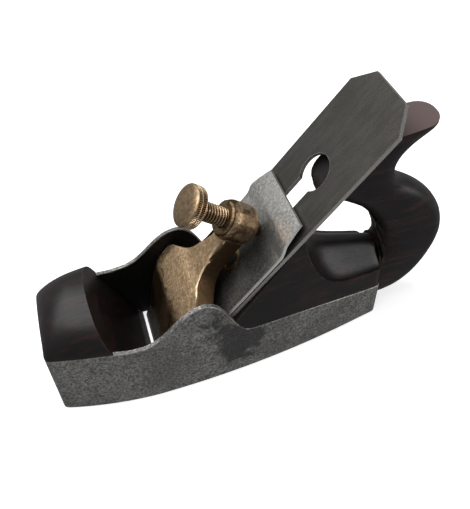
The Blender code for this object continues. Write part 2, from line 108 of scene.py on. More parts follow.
# %% The screw's own axis
screw_joint = next(joint for joint in frame["joints"] if joint["name"] == "thumb_screw_turn")
SCREW_AXIS = Vector(screw_joint["axis"]).normalized()
KNOB_BACK = Vector(screw_joint["pos_m"])
SCREW_SIDE = Vector((0, 1, 0))
screw_columns = Matrix((SCREW_AXIS.cross(SCREW_SIDE) * -1, SCREW_SIDE, SCREW_AXIS))
screw_place = screw_columns.transposed().to_4x4()
screw_place.translation = KNOB_BACK
print("the knob's back is at", [round(v / MM, 1) for v in KNOB_BACK])

# %% [markdown]
# ## The camera
# The camera stands above the plane's left side and looks down across it. A long lens would
# flatten the view, so this is the short distance that gives the iron its strong perspective.
# Three angles and one place say all of it.

# %% Camera
camera = bpy.data.objects.new("camera", bpy.data.cameras.new("camera"))
bpy.context.scene.collection.objects.link(camera)
camera.location = (-0.04376, -0.26367, 0.34322)
camera.rotation_euler = (math.radians(44.277), math.radians(3.404), math.radians(-16.851))
camera.data.sensor_fit = "VERTICAL"
camera.data.sensor_height = 24
camera.data.lens = 32.366
camera.data.shift_x = -0.00178
camera.data.shift_y = -0.00706
camera.data.clip_start = 0.01
bpy.context.scene.camera = camera
print("camera", round(camera.location.length, 3), "m from the plane")

# %% [markdown]
# ## The floor
# A plain pale floor lies a hair below the sole, so that the two faces never fight for the same
# place. It glows a little by itself, which keeps it white without a lamp so strong that the
# plane would wash out. It stays out of the reflections, so that the polished wood can go nearly
# black.

# %% Floor
FLOOR_RADIUS = 2.6
FLOOR_GAP = 0.0002
bpy.ops.mesh.primitive_circle_add(vertices=96, radius=FLOOR_RADIUS, fill_type="NGON",
                                  location=(0, 0, -FLOOR_GAP))
floor = bpy.context.object
floor.name = "floor"
floor.visible_glossy = False

floor_paper = bpy.data.materials.new("floor paper")
floor_paper.use_nodes = True
paper = floor_paper.node_tree.nodes["Principled BSDF"]
paper.inputs["Base Color"].default_value = (0.93, 0.93, 0.93, 1)
paper.inputs["Roughness"].default_value = 0.85
paper.inputs["Emission Color"].default_value = (1, 1, 1, 1)
paper.inputs["Emission Strength"].default_value = 0.62
paper.inputs["Specular IOR Level"].default_value = 0.1
floor.data.materials.append(floor_paper)
print("floor radius", FLOOR_RADIUS, "m")

# %% [markdown]
# ## Lamps and surround
# Metal shows its surroundings more than its own colour, so the lamps for a small polished thing
# are large and near, and their picture appears in the metal. A wide lamp above lights the upper
# faces, and a small one low on the right brightens that end of the sides. An area lamp that
# faces the plane needs only a place, a size and a strength in watts. The surround is dim, and
# fills the shadows without washing out the steel.

# %% Lamps and surround
LAMP_AIM = Vector((0.0, 0.0, 0.05))


def soft_lamp(name, place, size, watts):
    """A square lamp that faces the middle of the plane."""
    lamp = bpy.data.objects.new(name, bpy.data.lights.new(name, "AREA"))
    bpy.context.scene.collection.objects.link(lamp)
    lamp.data.size = size
    lamp.data.energy = watts
    lamp.location = place
    lamp.rotation_euler = (LAMP_AIM - Vector(place)).to_track_quat("-Z", "Y").to_euler()


soft_lamp("wide lamp above", (-0.35, 0.30, 1.20), 1.4, 17.0)
soft_lamp("lamp low on the right", (0.95, -0.45, 0.45), 0.6, 3.4)
surround = bpy.data.worlds.new("surround")
bpy.context.scene.world = surround
surround.use_nodes = True
sky = surround.node_tree.nodes["Background"]
sky.inputs["Color"].default_value = (1, 1, 1, 1)
sky.inputs["Strength"].default_value = 0.25
bpy.context.scene.view_settings.view_transform = "Standard"

# %% [markdown]
# ## Writing a finish as sums
# A finish is a colour, a roughness and small bumps, each mixed by masks. Written node by node
# it is long to read, so one small class wraps a socket and lets masks be added and multiplied
# like numbers. Each sum adds its Math nodes behind the scenes.

# %% Sockets as numbers


class Mask:
    """One output of a node, written in sums as if it were a number."""

    def __init__(self, finish, socket):
        self.finish = finish
        self.socket = socket

    def math(self, operation, other, turned=False):
        """One Math node on this mask and a number or another mask."""
        pair = (other, self) if turned else (self, other)
        return self.finish.node("ShaderNodeMath", {"operation": operation}, {0: pair[0], 1: pair[1]})

    def __add__(self, other):
        return self.math("ADD", other)

    def __sub__(self, other):
        return self.math("SUBTRACT", other)

    def __rsub__(self, other):
        return self.math("SUBTRACT", other, turned=True)

    def __mul__(self, other):
        return self.math("MULTIPLY", other)

    def between(self, low, high):
        """0 below low, 1 above high, eased between them."""
        return self.finish.node("ShaderNodeMapRange", {"interpolation_type": "SMOOTHSTEP"},
                                {0: self, 1: low, 2: high, 3: 0.0, 4: 1.0})

    __radd__ = __add__
    __rmul__ = __mul__


print("a mask can add, subtract and multiply")

# %% [markdown]
# ## A finish and its nodes
# A second class holds the material. One of its methods makes any node in one call, from the
# node's type, its settings and its sockets. The others are the few masks that time, tools and
# hands leave on a plane, which also place painted light and shade: noise, rubbed edges, round
# stains, and places found by how far they are along a direction or from an axis. All of them
# read the piece's own place in metres, so the same finish has the same grain on every piece.

# %% A finish and its nodes


class Finish:
    """A material with its Principled shader and a short way to add nodes."""

    def __init__(self, name, metallic):
        self.material = bpy.data.materials.new(name)
        self.material.use_nodes = True
        self.tree = self.material.node_tree
        self.shader = self.tree.nodes["Principled BSDF"]
        self.shader.inputs["Metallic"].default_value = metallic
        self.place = self.node("ShaderNodeTexCoord", output="Object")

    def node(self, kind, settings={}, sockets={}, output=0):
        """Any node: its type, its settings, the values or links of its sockets, its output."""
        made = self.tree.nodes.new(kind)
        for name, value in settings.items():
            setattr(made, name, value)
        for name, value in sockets.items():
            self.feed(made.inputs[name], value)
        return Mask(self, made.outputs[output])

    def feed(self, socket, value):
        """Links a mask to a socket, or writes a plain value on it."""
        if isinstance(value, Mask):
            self.tree.links.new(value.socket, socket)
        else:
            socket.default_value = value

    def set(self, **values):
        """Feeds the shader's sockets by name, with _ for each space."""
        for name, value in values.items():
            self.feed(self.shader.inputs[name.replace("_", " ")], value)

    def noise(self, scale, detail=4.0, roughness=0.6, place=None, warp=0.0):
        """Noise read in metres: a scale of 1000 makes marks about a millimetre across."""
        return self.node("ShaderNodeTexNoise", {}, {"Vector": place or self.place, "Scale": scale,
                         "Detail": detail, "Roughness": roughness, "Distortion": warp})

    def stretched(self, scale, turn=(0, 0, 0)):
        """The piece's own place, first turned and then drawn out along an axis."""
        turned = self.node("ShaderNodeMapping", {}, {"Vector": self.place, "Rotation": turn})
        return self.node("ShaderNodeMapping", {}, {"Vector": turned, "Scale": scale})

    def mix(self, mask, first, second):
        """The first colour where the mask is 0, the second where it's 1."""
        return self.node("ShaderNodeMix", {"data_type": "RGBA"}, {0: mask, 6: first, 7: second},
                         output=2)

    def worn_edges(self, radius, low=0.02, high=0.16):
        """1 on the corners that hands and work have rubbed, 0 on the flats."""
        rounded = self.node("ShaderNodeBevel", {"samples": 6}, {"Radius": radius})
        straight = self.node("ShaderNodeNewGeometry", output="Normal")
        match = self.node("ShaderNodeVectorMath", {"operation": "DOT_PRODUCT"},
                          {0: rounded, 1: straight}, output="Value")
        return (1 - match).between(low, high)

    def near(self, point, radius):
        """1 at a point, fading to 0 at the radius."""
        gap = self.node("ShaderNodeVectorMath", {"operation": "DISTANCE"},
                        {0: self.place, 1: tuple(point)}, output="Value")
        return 1 - gap.between(0.25 * radius, radius)

    def along(self, direction, start=(0, 0, 0)):
        """How far the place is from the start, in metres along a direction."""
        return self.dot(self.node("ShaderNodeVectorMath", {"operation": "SUBTRACT"},
                                  {0: self.place, 1: tuple(start)}), direction)

    def facing(self, direction):
        """1 where the surface faces the direction, 0 where it's edge on, -1 where it faces away."""
        return self.dot(self.node("ShaderNodeNewGeometry", output="Normal"), direction)

    def dot(self, first, direction):
        """The dot product of a vector socket and a fixed direction."""
        return self.node("ShaderNodeVectorMath", {"operation": "DOT_PRODUCT"},
                         {0: first, 1: tuple(direction)}, output="Value")

    def from_axis(self, point, axis):
        """Distance in metres from an axis."""
        gap = self.node("ShaderNodeVectorMath", {"operation": "SUBTRACT"},
                        {0: self.place, 1: tuple(point)})
        across = self.node("ShaderNodeVectorMath", {"operation": "CROSS_PRODUCT"},
                           {0: gap, 1: tuple(axis)})
        return self.node("ShaderNodeVectorMath", {"operation": "LENGTH"}, {0: across}, output="Value")

    def bumps(self, height, distance):
        """Small bumps in the shading, as deep in metres as the distance where the height is 1."""
        self.set(Normal=self.node("ShaderNodeBump", {}, {"Height": height, "Distance": distance,
                                                         "Strength": 1.0}))


print("a finish is written as sums of masks")

# %% [markdown]
# ## Side plates: pitted steel
# The sides are bare steel that has rusted lightly and been cleaned many times. That leaves a
# mottled grey with soft dark clouds, a fine dark pepper of pits, one large stain under the
# hump and a bright line where the edge is rubbed. Three sizes of noise make the mottle, and
# the stain is one more cloud held to its place. The faces that look inwards and the top of the
# sole are painted nearly black as shade, and the way they face is enough to find them.

# %% Steel of the sides
STAIN_UNDER_HUMP = (0.001, -0.031, 0.033)
STAIN_BELOW = (0.012, -0.031, 0.024)
SOLE_TOP = 6 * MM

plate_steel = Finish("pitted steel", 0.85)
clouds = plate_steel.noise(42, 7, 0.66, warp=0.5).between(0.42, 0.62)
mottle = plate_steel.noise(680, 6, 0.78).between(0.38, 0.64)
pits = plate_steel.noise(1500, 5, 0.75).between(0.54, 0.66)
ragged = plate_steel.noise(75, 7, 0.75, warp=0.6)
spread = plate_steel.near(STAIN_UNDER_HUMP, 0.030) + plate_steel.near(STAIN_BELOW, 0.022)
stain = (spread * 0.55 + ragged * 2.8 - 1.72).between(0.0, 0.30)
looks_out = plate_steel.facing((0, 1, 0)) * plate_steel.along((0, 1, 0))
looks_up = plate_steel.facing((0, 0, 1)).between(0.5, 0.9)
above_sole = plate_steel.along((0, 0, 1)).between(SOLE_TOP, SOLE_TOP + 2 * MM)
# Painted shade: the faces that look inwards and the top of the sole.
inside = (0.0 - looks_out).between(0.006, 0.014) + looks_up * (1 - above_sole)
rubbed = plate_steel.worn_edges(0.0009) * plate_steel.noise(240, 4, 0.6).between(0.30, 0.52)
steel_tone = plate_steel.mix(mottle, (0.120, 0.117, 0.114, 1), (0.480, 0.472, 0.458, 1))
steel_tone = plate_steel.mix(clouds * 0.45, steel_tone, (0.120, 0.117, 0.115, 1))
steel_tone = plate_steel.mix(stain * 0.80, steel_tone, (0.060, 0.057, 0.060, 1))
steel_tone = plate_steel.mix(pits * 0.85, steel_tone, (0.030, 0.027, 0.025, 1))
# The painted shade on the inner faces goes nearly black.
steel_tone = plate_steel.mix(inside * 0.95, steel_tone, (0.016, 0.014, 0.013, 1))
steel_tone = plate_steel.mix(rubbed * 0.85, steel_tone, (0.85, 0.80, 0.74, 1))
plate_steel.set(Base_Color=steel_tone, Roughness=0.44 + clouds * 0.10 + pits * 0.15 + inside * 0.15)
plate_steel.bumps(mottle * 0.5 - pits, 0.00006)
print("pitted steel made")

# %% [markdown]
# ## The cutting iron: dark tool steel
# The iron has a brown-grey skin of old oxide, evenly dark with faint streaks along its length
# from sharpening and from the cap iron that slid on it. Its corners are rubbed to warm bright
# metal, and the long edge on the left side gets a painted light, a paler, less metallic grey
# than the face. Noise drawn out along the bed gives the streaks.

# %% Steel of the cutting iron
iron_steel = Finish("dark iron steel", 0.8)
drawn = iron_steel.stretched((0.2, 1.0, 1.0), turn=(0, BED_ANGLE, 0))
streaks = iron_steel.noise(260, 5, 0.65, place=drawn).between(0.35, 0.68)
grain = iron_steel.noise(1300, 3, 0.6).between(0.40, 0.66)
smears = iron_steel.noise(32, 4, 0.6, warp=0.6).between(0.42, 0.66)
rubbed = iron_steel.worn_edges(0.0007)
iron_tone = iron_steel.mix(streaks, (0.084, 0.079, 0.071, 1), (0.118, 0.112, 0.102, 1))
iron_tone = iron_steel.mix(grain * 0.55, iron_tone, (0.060, 0.056, 0.050, 1))
iron_tone = iron_steel.mix(smears * 0.30, iron_tone, (0.150, 0.143, 0.134, 1))
iron_tone = iron_steel.mix(rubbed * 0.8, iron_tone, (0.50, 0.46, 0.42, 1))
# Painted light on the long left edge: paler and less metallic than the face.
painted_light_left_edge = iron_steel.facing((0, -1, 0)).between(0.5, 0.9)
iron_tone = iron_steel.mix(painted_light_left_edge * 0.6, iron_tone, (0.26, 0.25, 0.24, 1))
iron_steel.set(Base_Color=iron_tone, Roughness=0.42 + grain * 0.12 - smears * 0.06,
               Metallic=0.8 - painted_light_left_edge * 0.6)
iron_steel.bumps(grain + streaks * 0.3, 0.00003)
print("dark iron steel made")

# %% [markdown]
# ## The cap iron: bright worn steel
# The cap iron is cleaner than the iron under it and light grey, with a pepper of small rust
# spots. Only its upper end is bright: the lever cap's shade and dark reflection are painted on
# the rest, in one soft patch beside the boss and all over the end near the mouth. The patch is a
# round mask, and distance up the bed gives the dark end. The long left edge gets a painted
# light, a paler and less metallic grey.

# %% Steel of the cap iron
# The middle of the painted shade patch beside the boss.
SHADE_BESIDE_BOSS = on_bed(78, -14, 2.5)

cap_steel = Finish("bright cap steel", 0.85)
haze = cap_steel.noise(55, 5, 0.6, warp=0.5).between(0.38, 0.66)
spots = cap_steel.noise(1100, 3, 0.62).between(0.60, 0.68)
spots = spots * cap_steel.noise(70, 3, 0.6).between(0.38, 0.60)
sheen = cap_steel.noise(600, 4, 0.6).between(0.35, 0.68)
rubbed = cap_steel.worn_edges(0.0008)
up_bed = cap_steel.along(UP_BED, EDGE)
# Painted shade and dark reflection of the lever cap, beside the boss and towards the mouth.
painted_shade_under_cap = cap_steel.near(SHADE_BESIDE_BOSS, 0.048) * 1.5 + haze * 0.35 - 0.25
painted_shade_under_cap = (painted_shade_under_cap + 1 - up_bed.between(0.030, 0.060)).between(0.0, 1.0)
grimy = cap_steel.noise(900, 4, 0.7).between(0.42, 0.64)
# Painted light on the long left edge, paler and less metallic than the face.
painted_light_left_edge = cap_steel.facing((0, -1, 0)).between(0.5, 0.9)
cap_tone = cap_steel.mix(sheen, (0.50, 0.49, 0.465, 1), (0.86, 0.845, 0.805, 1))
# The painted shade is a dark grey, varied a little by the grimy noise.
cap_tone = cap_steel.mix(painted_shade_under_cap * (0.72 + grimy * 0.2), cap_tone, (0.070, 0.068, 0.065, 1))
cap_tone = cap_steel.mix(haze * 0.35, cap_tone, (0.42, 0.41, 0.39, 1))
cap_tone = cap_steel.mix(spots * 0.75, cap_tone, (0.055, 0.048, 0.042, 1))
cap_tone = cap_steel.mix(grimy * 0.30, cap_tone, (0.10, 0.095, 0.088, 1))
cap_tone = cap_steel.mix(rubbed * 0.6, cap_tone, (0.62, 0.59, 0.55, 1))
cap_tone = cap_steel.mix(painted_light_left_edge * 0.8, cap_tone, (0.42, 0.41, 0.40, 1))
cap_steel.set(Base_Color=cap_tone, Roughness=0.34 + haze * 0.10 + spots * 0.2,
              Metallic=0.85 - painted_light_left_edge * 0.6)
cap_steel.bumps(sheen * 0.4 - spots, 0.00003)
print("bright cap steel made")

# %% [markdown]
# ## Brass with a century of patina
# Handled brass is bright only where fingers rub it. The flats go brown and dull, with small dark
# casting pits, and the rubbed mask drives both colour and roughness, so the bright places are
# also the smooth ones. The three brasses differ only in how far this has gone, so one function
# makes them all, and hands back colour and roughness for each piece to lay its own marks on,
# painted shade and painted highlights among them.

# %% Brass
RAW_BRASS = (1.0, 0.72, 0.44)
DARK_BRASS = (0.56, 0.39, 0.23)
RUBBED_BRASS = (0.98, 0.74, 0.50, 1)


def brass_finish(name, bright, pit_share, patina_share, edge):
    """A brass with its colour and its roughness. The edge is how wide its corners are rubbed."""
    brass = Finish(name, 1.0)
    patina = brass.noise(75, 5, 0.62, warp=0.5).between(0.36, 0.66)
    cast = brass.noise(520, 4, 0.65).between(0.35, 0.68)
    holes = brass.noise(760, 4, 0.7, warp=0.3).between(0.60, 0.67)
    holes = holes * brass.noise(90, 3, 0.6).between(0.42, 0.60)
    rubbed = brass.worn_edges(edge)
    low, high = ([share * bright for share in colour] + [1] for colour in (DARK_BRASS, RAW_BRASS))
    tone = brass.mix(cast, low, high)
    tone = brass.mix(patina * patina_share, tone, (0.170, 0.118, 0.082, 1))
    tone = brass.mix(holes * pit_share, tone, (0.040, 0.026, 0.018, 1))
    tone = brass.mix(rubbed * 0.85, tone, RUBBED_BRASS)
    brass.bumps(cast * 0.5 - holes, 0.00010)
    return brass, tone, 0.38 + patina * 0.12 + holes * 0.2 - rubbed * 0.12


print("brass can be made")

# %% [markdown]
# ## The lever cap's brass
# The lever cap's sides and the slope in front of its panel are painted dark as shade, darkest on
# the far side, and the brass round the boss is painted darker. Its ridges carry a painted
# highlight and the boss's corners are rubbed bright. Each of these places is a mask, made from
# the way the surface faces and from its distance up the bed, off it or from the screw's axis.
# One uneven noise keeps the masks from looking drawn.

# %% Cast brass
BOSS_LIFT = 22.5 * MM
BOSS_COLLAR, BOSS_RADIUS = 9.8 * MM, 11.4 * MM
SLOPE_TOP = 42.5 * MM

cast_brass, tone, dull = brass_finish("cast brass", 0.98, 0.8, 0.22, 0.0011)
uneven = cast_brass.noise(150, 5, 0.7, warp=0.5)
faces_off = cast_brass.facing(OFF_BED)
up_bed = cast_brass.along(UP_BED, EDGE)
off_height = cast_brass.along(OFF_BED, EDGE)
from_axis = cast_brass.from_axis(KNOB_BACK, SCREW_AXIS)

boss = off_height.between(BOSS_LIFT, BOSS_LIFT + 0.5 * MM)
boss = boss + from_axis.between(BOSS_COLLAR, BOSS_COLLAR + 0.4 * MM)
boss = boss * (1 - from_axis.between(BOSS_RADIUS, BOSS_RADIUS + 0.4 * MM))
# Painted shade on the sides: faces that don't look off the bed.
sides = (1 - faces_off.between(0.42, 0.62)) * (1 - boss)
slope = 1 - (up_bed + uneven * 0.006).between(SLOPE_TOP, SLOPE_TOP + 5 * MM)
far_side = cast_brass.along((0, 1, 0)).between(-0.012, 0.020)
# Painted shade on the slope in front of the panel, darker on the far side.
slope_painted_shade = slope * (0.77 + far_side * 0.20) * (1 - sides)
# The brass round the boss is painted darker, unevenly.
boss_darkening = boss * (0.60 + uneven.between(0.44, 0.60) * 0.32)
# A painted highlight along the ridges, from the way the surface faces, broken up by noise.
ridge = faces_off.between(0.46, 0.60) * (1 - faces_off.between(0.74, 0.90))
ridge = ridge * (1 - slope) * (1 - boss) * uneven.between(0.36, 0.50)
boss_corners = cast_brass.worn_edges(0.0016, 0.03, 0.14) * boss * uneven.between(0.34, 0.46)

# Painted shade on the sides and slope, and the darker boss, all go to one dark brown.
tone = cast_brass.mix(sides * 0.96 + slope_painted_shade + boss_darkening, tone, (0.072, 0.040, 0.020, 1))
tone = cast_brass.mix(ridge * 0.85, tone, (0.98, 0.76, 0.52, 1))
tone = cast_brass.mix(boss_corners * 0.90, tone, (0.98, 0.72, 0.46, 1))
cast_brass.set(Base_Color=tone, Roughness=dull)
print("cast brass made")

# %% [markdown]
# ## The screw's brass and the nut's
# The thumb screw is darker, and shade is painted into the thread's roots and between the teeth
# of the knurl. Both are rings about the screw's axis, so distance from the axis and distance
# along it find them. The nut is cleaner and more yellow, because it lies under the lever cap
# where no hand reaches it.

# %% Turned brass and nut brass
turned_brass, tone, dull = brass_finish("turned brass", 0.66, 0.45, 0.55, 0.0006)
from_axis = turned_brass.from_axis(KNOB_BACK, SCREW_AXIS)
out_along = turned_brass.along(SCREW_AXIS, KNOB_BACK)
below_knob = 1 - out_along.between(-1.2 * MM, -0.8 * MM)
along_knurl = out_along.between(1.1 * MM, 1.3 * MM) * (1 - out_along.between(6.1 * MM, 6.3 * MM))
# Painted shade in the thread's roots and between the knurl's teeth.
roots = (1 - from_axis.between(4.7 * MM, 5.4 * MM)) * below_knob
gaps = (1 - from_axis.between(11.45 * MM, 11.80 * MM)) * from_axis.between(10.0 * MM, 10.4 * MM)
root_and_knurl_shade = roots * 0.92 + gaps * along_knurl * 0.95
tone = turned_brass.mix(root_and_knurl_shade, tone, (0.040, 0.022, 0.012, 1))
turned_brass.set(Base_Color=tone, Roughness=dull)

nut_brass, tone, dull = brass_finish("nut brass", 0.98, 0.2, 0.10, 0.0006)
nut_brass.set(Base_Color=nut_brass.mix(0.5, tone, (0.95, 0.88, 0.42, 1)), Roughness=dull - 0.1)
print("turned brass and nut brass made")

# %% [markdown]
# ## Polished dark wood
# The wood is nearly black, with reddish streaks that run the length of the plane and show only
# where light falls on them. Old polish gives its upper faces a thin clear coat, and the handle's
# flat top is matt with a pale painted highlight on it. Its sharp edges are rubbed back to brown.
# The streaks are noise drawn out ten times along the grain.

# %% Wood
HORN_FLAT = 127 * MM

wood = Finish("dark rosewood", 0.0)
grain_place = wood.stretched((0.10, 1.0, 1.0))
figure = wood.noise(210, 6, 0.62, place=grain_place, warp=0.8).between(0.48, 0.72)
pores = wood.noise(1500, 3, 0.6, place=grain_place).between(0.56, 0.70)
bloom = wood.noise(34, 4, 0.6).between(0.40, 0.70)
looks_up = wood.facing((0, 0, 1))
# A pale painted highlight on the handle's flat top, which is also made matt.
horn_top_highlight = wood.along((0, 0, 1)).between(HORN_FLAT, HORN_FLAT + 1 * MM) * looks_up.between(0.90, 0.97)
rubbed = wood.worn_edges(0.0012, 0.03, 0.22) * wood.noise(160, 4, 0.7).between(0.44, 0.60)
wood_tone = wood.mix(figure, (0.0062, 0.0044, 0.0046, 1), (0.030, 0.0105, 0.0105, 1))
wood_tone = wood.mix(bloom * 0.3, wood_tone, (0.012, 0.009, 0.009, 1))
wood_tone = wood.mix(pores * 0.5, wood_tone, (0.003, 0.002, 0.002, 1))
wood_tone = wood.mix(horn_top_highlight * 0.85, wood_tone, (0.155, 0.110, 0.104, 1))
wood_tone = wood.mix(rubbed * 0.7, wood_tone, (0.110, 0.060, 0.040, 1))
wood.set(Base_Color=wood_tone, Roughness=0.38 + bloom * 0.10 + pores * 0.10 + horn_top_highlight * 0.2,
         Coat_Weight=looks_up.between(0.0, 0.8) * 0.26)
wood.shader.inputs["Coat Roughness"].default_value = 0.30
wood.shader.inputs["Specular IOR Level"].default_value = 0.28
wood.bumps(figure * 0.3 - pores, 0.00004)
print("dark rosewood made")

# %% [markdown]
# ## Selecting and editing
# An operator acts on all that is selected, and the CAD nodes come in selected. So nothing is
# done before everything is deselected and one piece is made active. These few helpers keep
# that habit in one place: open a piece for editing, apply a modifier, shade it smooth.

# %% Selecting and editing


def deselect_all():
    """Leaves edit mode with nothing selected, so that no operator reaches another piece."""
    if bpy.context.object and bpy.context.object.mode != "OBJECT":
        bpy.ops.object.mode_set(mode="OBJECT")
    for obj in bpy.context.selected_objects:
        obj.select_set(False)


def start_editing(obj, select="SELECT"):
    """Opens one piece in edit mode, with all of its corners selected or none."""
    deselect_all()
    obj.select_set(True)
    bpy.context.view_layer.objects.active = obj
    bpy.ops.object.mode_set(mode="EDIT")
    bpy.ops.mesh.select_mode(type="VERT")
    bpy.ops.mesh.select_all(action=select)


def apply_modifier(piece, kind, **settings):
    """Adds a modifier, sets it and applies it."""
    modifier = piece.modifiers.new(kind.lower(), kind)
    for name, value in settings.items():
        setattr(modifier, name, value)
    deselect_all()
    piece.select_set(True)
    bpy.context.view_layer.objects.active = piece
    bpy.ops.object.modifier_apply(modifier=modifier.name)


def smooth(piece, degrees):
    """Smooth shading, except over edges that are sharper than the angle."""
    deselect_all()
    piece.select_set(True)
    bpy.context.view_layer.objects.active = piece
    bpy.ops.object.shade_smooth_by_angle(angle=math.radians(degrees))


print("helpers ready")

# %% [markdown]
# ## Copies of the CAD pieces
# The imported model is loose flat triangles, exact but faceted. A piece that the light runs
# across is copied, its triangles are merged and its round faces are shaded smooth, and the copy
# then stands for its CAD node. Merging comes first, because smooth shading needs edges that two
# faces share.

# %% Copying a CAD piece
MERGE_GAP = 0.000004


def copy_of(node, name):
    """A merged copy of a CAD node, without the CAD's shading normals."""
    piece = nodes[node].copy()
    piece.data = nodes[node].data.copy()
    piece.name = name
    piece.data.name = name
    for key in list(piece.keys()):
        del piece[key]
    bpy.context.scene.collection.objects.link(piece)
    piece.parent = None
    piece.matrix_world = Matrix.Identity(4)
    start_editing(piece)
    bpy.ops.mesh.customdata_custom_splitnormals_clear()
    bpy.ops.mesh.remove_doubles(threshold=MERGE_GAP)
    bpy.ops.object.mode_set(mode="OBJECT")
    return piece


def finish_piece(piece, finish, slot, body, *stands_for):
    """Gives a finished piece its material, its body and the CAD nodes that it stands for."""
    piece.data.materials.clear()
    piece.data.materials.append(finish.material)
    piece.data.polygons.foreach_set("material_index", [0] * len(piece.data.polygons))
    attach(piece, body)
    if stands_for:
        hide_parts(*stands_for)
    print(piece.name, "has", sum(len(p.vertices) - 2 for p in piece.data.polygons), "triangles")


print("corners closer than", MERGE_GAP / MM, "mm are merged")

# %% [markdown]
# ## Sides, woods and handle
# These five pieces already have their whole shape in CAD, but their facets show in a long soft
# highlight. Each gets a copy with its loose facets merged and its normals smoothed where the
# surface is meant to be round, and the copy stands in for the CAD piece.

# %% Side plates, infills and handle
SMOOTH_COPIES = (("side_plate_left", "left_side_plate", plate_steel, "steel", 28),
                 ("side_plate_right", "right_side_plate", plate_steel, "steel", 28),
                 ("front_infill", "front_wood", wood, "rosewood", 32),
                 ("rear_infill", "rear_wood", wood, "rosewood", 32),
                 ("tote", "handle", wood, "rosewood", 50))
for node, name, finish, slot, crease in SMOOTH_COPIES:
    piece = copy_of(node, name)
    smooth(piece, crease)
    finish_piece(piece, finish, slot, "body", node)

# %% [markdown]
# ## The thumb screw
# The thumb screw is turned from brass bar, a domed knob on a coarse thread. Turning needs only
# an outline: here a circle is pulled up step by step, wider or narrower at each step, as a lathe
# would leave it. Every step is a radius and a height, so the outline can be read as a drawing.

# %% Turning a profile


def turned_piece(name, sides, profile):
    """A circle extruded and scaled through (radius, height) pairs in millimetres."""
    deselect_all()
    bpy.ops.mesh.primitive_circle_add(vertices=sides, radius=profile[0][0] * MM, fill_type="NGON",
                                      location=(0, 0, profile[0][1] * MM))
    piece = bpy.context.object
    piece.name = name
    bpy.ops.object.transform_apply(location=True)
    start_editing(piece)
    for (radius, height), (next_radius, next_height) in zip(profile, profile[1:]):
        lift = (0, 0, (next_height - height) * MM)
        bpy.ops.mesh.extrude_region_move(TRANSFORM_OT_translate={"value": lift})
        share = next_radius / radius
        bpy.ops.transform.resize(value=(share, share, 1), center_override=(0, 0, next_height * MM))
    bpy.ops.mesh.select_all(action="SELECT")
    bpy.ops.mesh.normals_make_consistent(inside=False)
    bpy.ops.object.mode_set(mode="OBJECT")
    return piece


def open_edges(piece):
    """How many edges don't have exactly two faces. A closed piece has none."""
    mesh = bmesh.new()
    mesh.from_mesh(piece.data)
    count = sum(not edge.is_manifold for edge in mesh.edges)
    mesh.free()
    return count


print("a profile can be turned")

# %% [markdown]
# ## The knob's outline
# The knob is 24 mm across, with a low dome on top and two raised bands round its rim, the lower
# one a hair smaller. Each band has a small slope at both ends, as a lathe tool leaves it. The
# bands are listed once and the outline is built from them, because the knurl needs the same
# heights again.

# %% Turning the knob
KNOB_RADIUS = 12.0
TEETH = 70
BANDS = ((1.00, 1.25, 3.20, 3.45), (3.75, 4.00, 5.95, 6.20))
knob_profile = [(5.0, -0.6), (6.2, -0.1), (10.8, 0.1), (11.5, 0.4), (11.8, 0.8)]
for band in BANDS:
    girth = KNOB_RADIUS - 0.1 if band is BANDS[0] else KNOB_RADIUS
    knob_profile += [(girth - 0.1, band[0]), (girth, band[1]), (girth, band[2]), (girth - 0.1, band[3])]
    knob_profile += [(girth - 0.35, band[3] + 0.15)] if band is BANDS[0] else []
knob_profile += [(11.75, 6.5), (11.3, 6.85), (10.5, 7.2), (9.2, 7.55), (7.4, 7.83), (5.2, 8.02),
                 (3.0, 8.12), (0.7, 8.18)]
knob = turned_piece("thumb_screw", TEETH * 2, knob_profile)
print("knob", 2 * KNOB_RADIUS, "mm across, open edges:", open_edges(knob))

# %% [markdown]
# ## The knurl
# A knurl is rolled, not cut: a hard wheel presses a row of small teeth into the rim. The knob
# has two corners for each tooth, so the teeth appear when every second corner of the two bands
# is pressed in towards the axis. That costs no more faces than a plain rim.

# %% Pressing the knurl
PRESSED = 0.948
knurled = {round(height, 2) for band in BANDS for height in band[1:3]}
start_editing(knob, "DESELECT")
edit_mesh = bmesh.from_edit_mesh(knob.data)
for vertex in edit_mesh.verts:
    corner = math.atan2(vertex.co.y, vertex.co.x) / (math.pi / TEETH)
    vertex.select = round(vertex.co.z / MM, 2) in knurled and round(corner) % 2 == 1
bmesh.update_edit_mesh(knob.data)
bpy.ops.transform.resize(value=(PRESSED, PRESSED, 1), center_override=(0, 0, 0))
bpy.ops.object.mode_set(mode="OBJECT")
print("knurled with", TEETH, "teeth, open edges:", open_edges(knob))

# %% [markdown]
# ## The screw's thread
# A thread could be a stack of rings, but rings don't climb and the eye notices. The outline of
# one tooth, spun about the axis by a Screw modifier and lifted by one pitch each turn, climbs as
# a cut thread does. The ends are then cut off square and closed.

# %% The thread
PITCH = 25.4 / 14
ROOT, CREST = 4.55, 5.5
THREAD_START, THREAD_END = -38.7, 0.4
TOOTH = ((0.0, 0.12), (CREST - ROOT, 0.36), (0.0, 0.14), (ROOT - CREST, 0.38))
TURN_STEPS = 40

